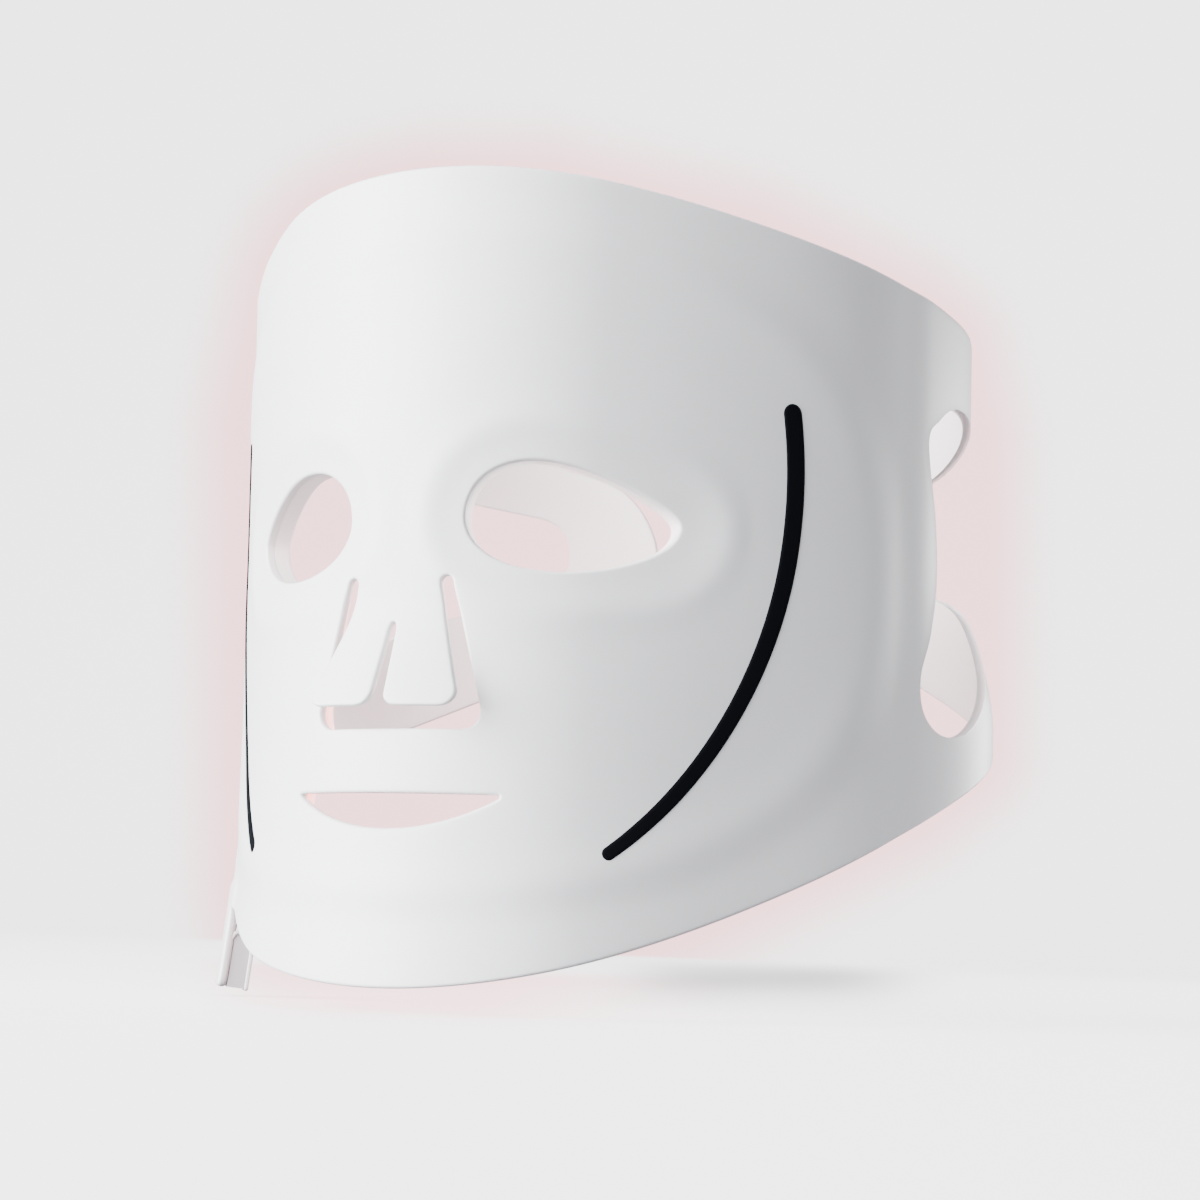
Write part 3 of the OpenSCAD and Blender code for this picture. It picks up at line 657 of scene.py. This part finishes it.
holes = [eye_loop(), mirror(eye_loop()), mouth_loop(), nose, ear_loop(), mirror(ear_loop())]
hole_r = [(EDGE_R, 0.15)] * 2 + [(EDGE_R, EDGE_R)] * 4
gap = 1.9
s, z, o, faces = sheet(sheet_outline(), holes, SHEET_T, EDGE_R, gap, lift=skin_lift, seams=seams,
                       hole_r=hole_r)
co = place(s, z, o)
normals = normals_of(co, faces)
mid_s = np.array([s[f].mean() for f in faces])
mid_z = np.array([z[f].mean() for f in faces])
flap = in_flap(mid_s, mid_z) & (mid_z < FLAP_SEAM)
groups = {
    "face_sheet": (np.abs(mid_s) < SEAM) & ~flap,
    "side_band_sheet_left": mid_s >= SEAM,
    "side_band_sheet_right": mid_s <= -SEAM,
    "nose_flap_sheet_left": flap & (mid_s > 0),
    "nose_flap_sheet_right": flap & (mid_s <= 0),
}
skins = {}
for name, mask in groups.items():
    own = [faces[i] for i in np.nonzero(mask)[0]]
    skins[name] = dress(make(name, co, own, normals), "shell_silicone")

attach(skins["face_sheet"], "front")
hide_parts("outer_shell")
for side, word in SIDES:
    band = skins["side_band_sheet_" + word]
    start, end = place(side * 137.0, 0.0, -1.2), place(side * 156.0, 0.0, -1.2)
    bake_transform(band)
    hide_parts("side_band_" + word)
    leaf = skins["nose_flap_sheet_" + word]
    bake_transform(leaf)
    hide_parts("nose_flap_" + word)

# ---------------------------------------------------------------- guards and liner

UNDER_SHEET = -SHEET_T - 0.05                          # depth just behind the sheet

for side, word in SIDES:
    big, small = eye_loop(GUARD_T), eye_loop(0.05)
    if side < 0:
        big, small = mirror(big), mirror(small)
    s, z, o, faces = sheet(spread(big, 1.2), [spread(small, 1.2)], t=GUARD_O - SHEET_T - 0.05, r=0.8,
                           gap=1.6, base=UNDER_SHEET, hole_r=[(0.15, 1.1)])
    o = o + np.where(o > -SHEET_T - 2.5, relief(s, z), 0.0)
    co = place(s, z, np.minimum(o, UNDER_SHEET + relief(s, z)))
    guard = dress(make("eye_guard_ring_" + word, co, faces, normals_of(co, faces)), "guard_silicone")
    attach(guard, "front")
    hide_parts("eye_guard_" + word)

eye_hole = spread(eye_loop(3.0), 1.2)
holes = [eye_hole, mirror(eye_hole), spread(mouth_loop(3.0), 1.0), nose_room(2.0)]
s, z, o, faces = sheet(spread(panel_loop(0.2), 1.6), holes, t=LINER_T, r=0.6, gap=2.6,
                       base=-LINER_O)
co = place(s, z, o)
liner = dress(make("face_liner", co, faces, normals_of(co, faces)), "liner_silicone")
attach(liner, "front")
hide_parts("inner_liner")

# ---------------------------------------------------------------- accent stripes

STRIPE_W, STRIPE_END, STRIPE_R, STRIPE_H = 5.4, 3.3, 116.1, 0.3   # width, at its end, arc, height
STRIPE_S, STRIPE_Z = 103.4, 22.75                      # where the arc stands furthest out
STRIPE_FROM, STRIPE_TO = -10.2, 53.7                   # degrees along the arc, downwards


def stripe_mesh(side):
    """Rows (s, z, o) and faces of a flat strip with round ends, along an arc."""
    start, stop = math.radians(STRIPE_FROM), math.radians(STRIPE_TO)
    n, m = 90, 10
    wide, narrow = STRIPE_W / 2, STRIPE_END / 2
    turn = np.linspace(0, np.pi / 2, 15)[1:]
    angles = list(start - wide / STRIPE_R * np.sin(turn[::-1])) + list(np.linspace(start, stop, n)) \
        + list(stop + narrow / STRIPE_R * np.sin(turn))
    half = list(wide * np.maximum(0.01, np.cos(turn[::-1]))) \
        + list(wide - (wide - narrow) * np.linspace(0, 1, n) ** 2) \
        + list(narrow * np.maximum(0.01, np.cos(turn)))
    top, faces = [], []
    for t, w in zip(angles, half):
        for j in range(m + 1):
            v = -1 + 2 * j / m
            r = STRIPE_R + v * w
            up = STRIPE_H * (1 - abs(v) ** 6) ** 0.5 * min(1.0, (w / narrow) ** 0.5)
            s = side * (STRIPE_S - STRIPE_R + r * math.cos(t))
            top.append((s, STRIPE_Z - r * math.sin(t), up))
    top = np.array(top)
    k = len(top)
    low = top.copy()
    low[:, 2] = -0.25
    for i in range(len(angles) - 1):
        for j in range(m):
            a = i * (m + 1) + j
            q = [a, a + 1, a + m + 2, a + m + 1][::side]
            faces += [q, [v + k for v in q[::-1]]]
    for i in range(len(angles) - 1):
        for j in (0, m):
            a = i * (m + 1) + j
            q = [a, a + m + 1, a + m + 1 + k, a + k]
            flip = (j == 0) == (side > 0)
            faces.append(q if flip else q[::-1])
    return np.vstack([top, low]), faces


for side, word in SIDES:
    rows, faces = stripe_mesh(side)
    co = place(rows[:, 0], rows[:, 1], rows[:, 2] + relief(rows[:, 0], rows[:, 1]))
    stripe = dress(make("accent_strip_" + word, co, faces), "stripe_black")
    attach(stripe, "front")
    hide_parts("accent_stripe_" + word)

# ---------------------------------------------------------------- strap pads, with looped pile

PAD_W, PAD_H, PAD_CORNER, PAD_S, PAD_Z = 20.0, 36.0, 3.0, 290, 34
PAD_T, PILE = 1.15, 0.22                               # thickness, and how uneven the pile is

for side, word in SIDES:
    half_w, half_h, c = PAD_W / 2, PAD_H / 2, PAD_CORNER
    rim = corner(half_w - c, half_h - c, c, 0, 90) + corner(-half_w + c, half_h - c, c, 90, 180) \
        + corner(-half_w + c, -half_h + c, c, 180, 270) + corner(half_w - c, -half_h + c, c, 270, 360)
    rim = spread([(side * (PAD_S + x), PAD_Z + y) for x, y in rim[::side]], 0.8)
    s, z, o, faces = sheet(rim, [], t=PAD_T, r=0.5, gap=0.9, base=1.2)
    rng = np.random.default_rng(5 + side)
    o = o - np.where(o > PAD_T, rng.random(len(o)) * PILE, 0)
    co = place(s, z, o)
    pad = dress(make("strap_fastener_" + word, co, faces, normals_of(co, faces)), "strap_pad_grey")
    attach(pad, "band_" + word)
    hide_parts("strap_pad_" + word)

# ---------------------------------------------------------------- the inlet's tab, behind the skin

SOCKET_Z, SOCKET_O = -96.0, -SHEET_T - 0.15 - 2.3      # half way through the socket


def tab_frame():
    """Its directions (along the sheet, inwards, up the tab) and the point half way through the socket."""
    at = place(TAB_S, SOCKET_Z, SOCKET_O)
    e = place(np.array([TAB_S + 1, TAB_S - 1, TAB_S, TAB_S]),
              np.array([SOCKET_Z, SOCKET_Z, SOCKET_Z + 1, SOCKET_Z - 1]), SOCKET_O)
    along = Vector((e[0] - e[1]) * np.array([1, 1, 0])).normalized()
    upwards = Vector(e[2] - e[3]).normalized()
    upwards = (upwards - upwards.dot(along) * along).normalized()
    return Matrix((along, upwards.cross(along), upwards)).transposed(), Vector(at)


def tab_strip(name, path, thick, w, r):
    """A soft strip, thick deep and w wide, that follows a path of (inwards, up) points in the tab."""
    turn, at = tab_frame()
    p = spread(path, 0.5, closed=False)
    tangent = np.gradient(p, axis=0)
    tangent /= np.hypot(*tangent.T)[:, None]
    normal = np.stack([tangent[:, 1], -tangent[:, 0]], -1)
    section = []
    x, y = w / 2 - r, thick / 2 - r
    for cx, cy, start in ((x, y, 0), (-x, y, 90), (-x, -y, 180), (x, -y, 270)):
        section += corner(cx, cy, r, start, start + 90, 6)
    rows, faces = [], []
    n, k = len(p), len(section)
    ends = [1 - (1 - min(1.0, i * 0.5 / r)) ** 2 for i in range(n)]
    for i in range(n):
        tight = math.sqrt(max(0.02, min(ends[i], ends[n - 1 - i])))
        for x, y in section:
            aside = math.copysign(max(0, abs(x) - r * (1 - tight)), x)
            q = p[i] + normal[i] * (y * (0.35 + 0.65 * tight))
            rows.append((aside * MM, q[0] * MM, q[1] * MM))
    for i in range(n - 1):
        for j in range(k):
            a, b = i * k + j, i * k + (j + 1) % k
            faces.append([a, b, b + k, a + k])
    faces.append(list(range(k))[::-1])
    faces.append([(n - 1) * k + j for j in range(k)])
    co = np.array([tuple(turn @ Vector(v) + at) for v in rows])
    return dress(make(name, co, faces), "shell_silicone")


def tab_plate(name, at, half, low, steps, under, gap, t, r, grid, base):
    """A plate on the tab: half its width to each side of at, up to just under the panel's edge."""
    high = [(at + x, panel_low(at + x) - under) for x in np.linspace(half, -half, steps)]
    rim = spread([(at - half, low), (at + half, low)] + high, gap)
    s, z, o, faces = sheet(rim, [], t, r, grid, base)
    co = place(s, z, o)
    return dress(make(name, co, faces, normals_of(co, faces)), "shell_silicone")


FOLD_R, FOLD_LOW = 2.98, -12.9                         # turn of the fold, and its lower end
arch = corner(0, 0, FOLD_R, 0, 168, 29)
boot = [
    tab_strip("inlet_tab_fold", [(FOLD_R, FOLD_LOW)] + arch + [(-2.9, 0.3)], thick=1.2, w=TAB_W, r=0.45),
    tab_plate("inlet_lead_cover", TAB_S, half=TAB_W / 2, low=-93.6, steps=9, under=0.7, gap=0.9, t=1.35,
              r=0.5, grid=1.6, base=-4.15),
]
for side, word in SIDES[::-1]:
    boot.append(tab_plate("inlet_tab_wall_" + word, TAB_S + side * 7.5, half=1, low=-94.0, steps=3,
                          under=1.2, gap=0.7, t=1.6, r=0.3, grid=0.9, base=-2.65))
for piece in boot:
    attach(piece, "front")
    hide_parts("inlet_boot")

# ---------------------------------------------------------------- softened edges of small CAD nodes

SOFT_EDGES = {"inlet_socket": 0.45, "inlet_leads": 0.08, "driver_chips": 0.1, "led_resistors": 0.05,
              "inlet_board": 0.1}
for name, width in SOFT_EDGES.items():
    mod = NODES[name].modifiers.new("soft_edges", "BEVEL")
    mod.width = width * MM
    mod.segments = 3
    mod.limit_method = "ANGLE"
    mod.angle_limit = math.radians(40)

# ---------------------------------------------------------------- stage, lights and camera


def stage_material(name, colour, strength):
    """A matt surface that glows evenly."""
    m = bpy.data.materials.new(name)
    m.use_nodes = True
    b = m.node_tree.nodes["Principled BSDF"]
    b.inputs["Base Color"].default_value = (0.35, 0.35, 0.35, 1)
    b.inputs["Roughness"].default_value = 0.9
    b.inputs["Specular IOR Level"].default_value = 0.0
    b.inputs["Emission Color"].default_value = (*colour, 1)
    b.inputs["Emission Strength"].default_value = strength
    return m


# the camera's place and directions
SEEN_FROM = Vector((0.2887, -0.4692 - SEAT * MM, -0.0903))
AHEAD = Vector((-0.439, 0.8862, 0.1482)).normalized()
RIGHT = Vector((0.898, 0.4384, 0.0388)).normalized()
UP = RIGHT.cross(AHEAD).normalized()
RIGHT = AHEAD.cross(UP).normalized()
PALE, PINK, BRIGHT = (1.0, 0.98, 0.985), (1.0, 0.52, 0.56), 3.4    # the ground's light
HALO_SIDES = 28                                        # straight sides that stand in for the outline
HALO_IN, HALO_OUT = -0.004, 0.034                      # where the pink starts to fade, and where it ends
SHADOW_AT, SHADOW_UP = 0.70, 0.004                     # middle of the shadow, seen from the camera
SHADOW_W, SHADOW_H, SHADOW_DEPTH = 0.066, 0.0105, 0.7   # half width, half height, and how dark


def add_halo(m):
    """The panel's light on the ground behind the mask: pink behind it, and pale past its outline."""
    rows = []
    for obj in skins.values():
        rows += [v.co for v in obj.data.vertices if v.co.x > -0.06 or v.co.z > -0.082][::7]
    rays = [v - SEEN_FROM for v in rows]
    uv = np.array([(v.dot(RIGHT) / v.dot(AHEAD), v.dot(UP) / v.dot(AHEAD)) for v in rays])
    low, high = uv.min(0), uv.max(0)
    nt = m.node_tree
    link = nt.links.new

    def calc(op, *given, vector=False):
        """The output of a maths node for the given values or sockets."""
        n = nt.nodes.new("ShaderNodeVectorMath" if vector else "ShaderNodeMath")
        n.operation = op
        for k, v in enumerate(given):
            if isinstance(v, bpy.types.NodeSocket):
                link(v, n.inputs[k])
            else:
                n.inputs[k].default_value = v
        return n.outputs["Value" if not vector or op == "DOT_PRODUCT" else "Vector"]

    def ramp(value, start, end, stops):
        """Colours at fractions of the way from start to end. The first two stops are the ends."""
        span = nt.nodes.new("ShaderNodeMapRange")
        span.inputs["From Min"].default_value = start
        span.inputs["From Max"].default_value = end
        link(value, span.inputs["Value"])
        n = nt.nodes.new("ShaderNodeValToRGB")
        n.color_ramp.interpolation = "EASE"
        for k, (at, colour) in enumerate(stops):
            stop = n.color_ramp.elements[k] if k < 2 else n.color_ramp.elements.new(at)
            stop.position = at
            stop.color = (*colour, 1)
        link(span.outputs["Result"], n.inputs["Fac"])
        return n.outputs["Color"]

    co = nt.nodes.new("ShaderNodeTexCoord").outputs["Object"]
    ray = calc("SUBTRACT", co, tuple(SEEN_FROM), vector=True)
    deep = calc("DOT_PRODUCT", ray, tuple(AHEAD), vector=True)
    u = calc("DIVIDE", calc("DOT_PRODUCT", ray, tuple(RIGHT), vector=True), deep)
    v = calc("DIVIDE", calc("DOT_PRODUCT", ray, tuple(UP), vector=True), deep)
    both = nt.nodes.new("ShaderNodeCombineXYZ")
    link(u, both.inputs[0])
    link(v, both.inputs[1])
    out = None
    for angle in np.linspace(0, 2 * np.pi, HALO_SIDES, endpoint=False):
        way = (math.cos(angle), math.sin(angle), 0.0)
        along = calc("DOT_PRODUCT", both.outputs[0], way, vector=True)
        past = calc("SUBTRACT", along, float((uv @ way[:2]).max()))
        out = past if out is None else calc("SMOOTH_MAX", out, past, 0.002)
    colour = ramp(out, HALO_IN, HALO_OUT, [(0.0, PINK), (1.0, PALE)])
    # on the wall, and on the ground under the mask
    none, full = (0.0, 0.0, 0.0), (1.0, 1.0, 1.0)
    amount = ramp(deep, 0.0, 3.0, [(0.0, none), (1.0, full), (0.15, none), (0.19, full),
                                   (0.31, full), (0.45, none), (0.68, none), (0.85, full)])
    mix = nt.nodes.new("ShaderNodeMix")
    mix.data_type = "RGBA"
    mix.inputs[MIX_A].default_value = (*PALE, 1)
    link(colour, mix.inputs[MIX_B])
    link(amount, mix.inputs[MIX_SHARE])
    # the mask's shadow, on the ground only
    middle_u = float(low[0] + SHADOW_AT * (high[0] - low[0]))
    across_u = calc("DIVIDE", calc("SUBTRACT", u, middle_u), SHADOW_W)
    down_v = calc("DIVIDE", calc("SUBTRACT", v, float(low[1]) + SHADOW_UP), SHADOW_H)
    off = calc("ADD", calc("POWER", calc("ABSOLUTE", across_u), 4.0), calc("MULTIPLY", down_v, down_v))
    near = ramp(deep, 0.3, 2.8, [(0.0, none), (1.0, none), (0.15, full), (0.45, full)])
    shade = calc("MULTIPLY", calc("EXPONENT", calc("MULTIPLY", off, -1.2)), near)
    lit = calc("SUBTRACT", 1.0, calc("MULTIPLY", shade, SHADOW_DEPTH))
    b = nt.nodes["Principled BSDF"]
    link(mix.outputs[MIX_OUT], b.inputs["Emission Color"])
    link(calc("MULTIPLY", lit, BRIGHT), b.inputs["Emission Strength"])


FLOOR_Z = packed[0].z - 0.0015                         # just under the inlet's tab
FLOOR_FROM, FLOOR_TO, HALF_WIDTH = -14.0, 2.4, 9       # metres along the view, and to each side
WALL_BEND, WALL_TOP, VIEW_TURN = 0.9, 3.2, 26.35       # radius, height, and degrees from +Y

profile = [(FLOOR_FROM, FLOOR_Z)]
for k in range(25):
    a = math.pi / 2 * k / 24
    profile.append((FLOOR_TO + WALL_BEND * math.sin(a), FLOOR_Z + WALL_BEND * (1 - math.cos(a))))
profile.append((FLOOR_TO + WALL_BEND, WALL_TOP))
points = np.array([(x, y, z) for y, z in profile for x in (-HALF_WIDTH, HALF_WIDTH)])
quads = [[2 * i, 2 * i + 1, 2 * i + 3, 2 * i + 2] for i in range(len(profile) - 1)]
sweep = make("backdrop", points, quads)
sweep.data.materials.append(stage_material("backdrop_pale", PALE, BRIGHT))
add_halo(sweep.data.materials[0])
sweep.visible_diffuse = False
sweep.visible_glossy = False
sweep.data.transform(Matrix.Rotation(math.radians(VIEW_TURN), 4, "Z"))


def lamp(name, energy, size, at, target, colour=(1, 1, 1)):
    """A square area light that points at target."""
    data = bpy.data.lights.new(name, "AREA")
    data.energy = energy
    data.size = size
    data.color = colour
    obj = bpy.data.objects.new(name, data)
    obj.location = at
    obj.rotation_mode = "QUATERNION"
    obj.rotation_quaternion = (Vector(target) - Vector(at)).to_track_quat("-Z", "Y")
    bpy.context.scene.collection.objects.link(obj)
    return obj


middle = (packed[0] + packed[1]) / 2
lamp("key", 218, 1.4, (-0.95, -1.15, 0.3), middle, (0.975, 0.985, 1.0))
lamp("fill", 6, 1.6, (0.5, -1.3, -0.05), middle)
inner = lamp("inner", 0.4, 0.06, (0.0, 0.10, 0.02), (0.0, 0.0, -0.01), (1.0, 0.90, 0.90))
inner.data.type = "POINT"
inner.data.shadow_soft_size = 0.03
lamp("top", 12, 1.0, (0.0, 0.3, 1.5), middle)
lamp("side", 27, 0.5, (0.68, 1.4, 0.12), middle)
lamp("jaw", 0.6, 0.3, (0.5, 0.05, -0.07), (0.08, 0.05, -0.09))

world = bpy.data.worlds.new("studio")
world.use_nodes = True
lit_by, seen_as = (0.313, 0.324, 0.36), (3.4, 3.33, 3.35)
tint = world.node_tree.nodes.new("ShaderNodeMix")
tint.data_type = "RGBA"
tint.inputs[MIX_A].default_value = (*lit_by, 1)
tint.inputs[MIX_B].default_value = (*seen_as, 1)
path = world.node_tree.nodes.new("ShaderNodeLightPath")
world.node_tree.links.new(path.outputs["Is Camera Ray"], tint.inputs[MIX_SHARE])
around = world.node_tree.nodes["Background"]
world.node_tree.links.new(tint.outputs[MIX_OUT], around.inputs["Color"])
bpy.context.scene.world = world

camera = bpy.data.cameras.new("camera")
camera.sensor_width = 36
camera.lens = 67.03
camera.clip_start, camera.clip_end = 0.01, 30
eye = bpy.data.objects.new("camera", camera)
bpy.context.scene.collection.objects.link(eye)
eye.matrix_world = Matrix(((RIGHT.x, UP.x, -AHEAD.x, SEEN_FROM.x),
                           (RIGHT.y, UP.y, -AHEAD.y, SEEN_FROM.y),
                           (RIGHT.z, UP.z, -AHEAD.z, SEEN_FROM.z), (0, 0, 0, 1)))
bpy.context.scene.camera = eye
